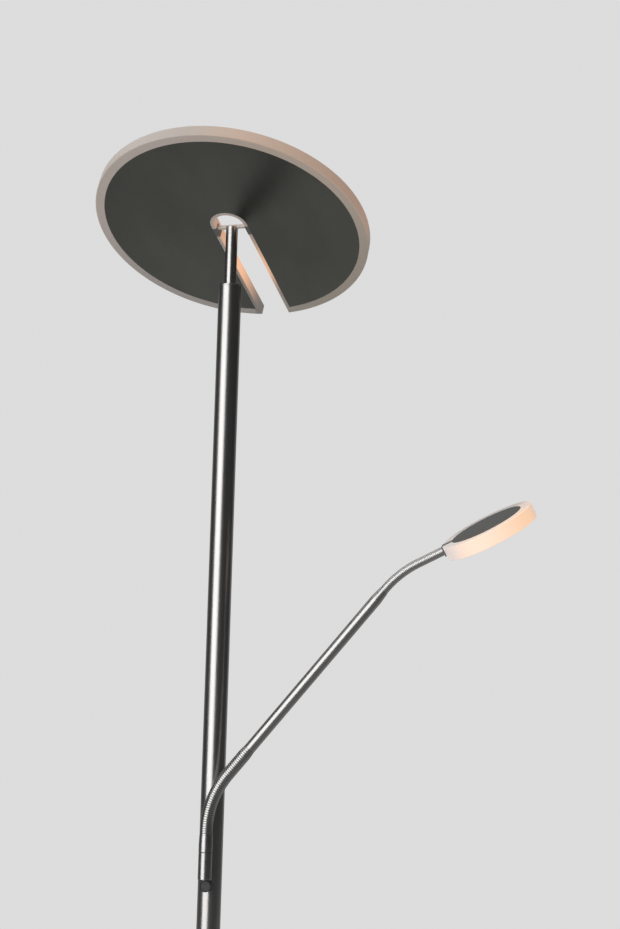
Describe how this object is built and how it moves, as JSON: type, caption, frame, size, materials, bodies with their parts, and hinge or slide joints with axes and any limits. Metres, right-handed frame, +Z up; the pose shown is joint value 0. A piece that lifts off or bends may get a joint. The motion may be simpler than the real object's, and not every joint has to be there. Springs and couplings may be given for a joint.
{
  "type": "torchiere floor lamp with reading light",
  "caption": "Floor lamp with a slotted glowing disc head that tilts on a slim pole, and a small round reading light on a bending side arm.",
  "frame": {"origin": "centre of the round base at floor level, on the pole's axis", "axes": "+Z up along the pole; -Y is the front, where the arm block and the dimmer knobs sit on the pole; +X is the side towards which the reading arm leans."},
  "size_m": [0.4927, 0.2823, 1.8723],
  "materials": {
    "satin_steel": "satin nickel over steel",
    "plate_steel": "dark satin",
    "inner_steel": "plain zinc plated",
    "cast_weight": "raw cast",
    "felt": "felt",
    "dark_plastic": "matt",
    "rubber_grommet": "matt",
    "lead_sheath": "matt",
    "board_metal": "white solder mask",
    "chip_phosphor": "phosphor",
    "frosted_acrylic": "frosted, lit from inside"
  },
  "bodies": {
    "pole": {"floor_pad": "felt", "bottom_plate": "plate_steel", "base_screws": "inner_steel", "base_weight": "cast_weight", "base_cover": "satin_steel", "driver": "dark_plastic", "cord_inlet": "rubber_grommet", "threaded_tube": "inner_steel", "tube_nut": "inner_steel", "tube_washer": "inner_steel", "foot_insert": "inner_steel", "pole_lower": "satin_steel", "pole_joiner": "inner_steel", "pole_upper": "satin_steel", "top_bush": "satin_steel", "stem_grub_screw": "inner_steel", "thrust_washer": "dark_plastic", "pole_lead": "lead_sheath", "dimmer_reading": "dark_plastic", "dimmer_main": "dark_plastic", "arm_stub": "inner_steel", "stub_nut": "inner_steel", "arm_spacer": "satin_steel", "arm_block": "satin_steel", "seam_washer": "dark_plastic"},
    "stem": {"stem": "satin_steel", "stem_head": "satin_steel", "stem_lead": "lead_sheath", "tilt_axle": "satin_steel"},
    "head": {"tilt_friction_screws": "inner_steel", "hinge_lug_left": "satin_steel", "hinge_lug_right": "satin_steel", "lug_screws": "inner_steel", "head_plate": "plate_steel", "led_board": "board_metal", "led_chips": "chip_phosphor", "board_screws": "inner_steel", "head_leads": "lead_sheath", "head_diffuser": "frosted_acrylic"},
    "arm_foot": {"swivel_pin": "inner_steel", "hose_sleeve": "satin_steel", "gooseneck_lower": "satin_steel"},
    "arm": {"hose_coupling": "inner_steel", "arm_tube": "satin_steel", "arm_lead": "lead_sheath", "gooseneck_upper": "satin_steel"},
    "reading_head": {"hose_screw": "inner_steel", "reading_plate": "plate_steel", "reading_board": "board_metal", "reading_chips": "chip_phosphor", "reading_screws": "inner_steel", "reading_diffuser": "frosted_acrylic"},
    "reading_knob": {"knob_reading": "satin_steel", "shaft_reading": "inner_steel"},
    "main_knob": {"knob_main": "satin_steel", "shaft_main": "inner_steel"}
  },
  "joints": [
    {"name": "head_swivel", "type": "hinge", "parent": "pole", "child": "stem", "pos_m": [0, 0, 1.8], "axis": [0, 0, 1], "range_deg": [-170, 170]},
    {"name": "head_tilt", "type": "hinge", "parent": "stem", "child": "head", "pos_m": [0, 0, 1.8], "axis": [0.9851, -0.1719, 0], "range_deg": [-65, 55]},
    {"name": "arm_swivel", "type": "hinge", "parent": "pole", "child": "arm_foot", "pos_m": [0, -0.024, 1.125], "axis": [0, 0, 1], "range_deg": [-208, 37]},
    {"name": "arm_bend", "type": "hinge", "parent": "arm_foot", "child": "arm", "pos_m": [0.00969, -0.02468, 1.1882], "axis": [0.0698, 0.9976, 0], "range_deg": [-20, 60], "deforming": ["gooseneck_lower"]},
    {"name": "head_bend", "type": "hinge", "parent": "arm", "child": "reading_head", "pos_m": [0.20695, -0.03847, 1.42094], "axis": [0.0698, 0.9976, 0], "range_deg": [-45, 75], "deforming": ["gooseneck_upper"]},
    {"name": "reading_dim", "type": "hinge", "parent": "pole", "child": "reading_knob", "pos_m": [0, -0.0125, 1.0905], "axis": [0, -1, 0], "range_deg": [-150, 150]},
    {"name": "main_dim", "type": "hinge", "parent": "pole", "child": "main_knob", "pos_m": [0, -0.0125, 1.0305], "axis": [0, -1, 0], "range_deg": [-150, 150]}
  ]
}
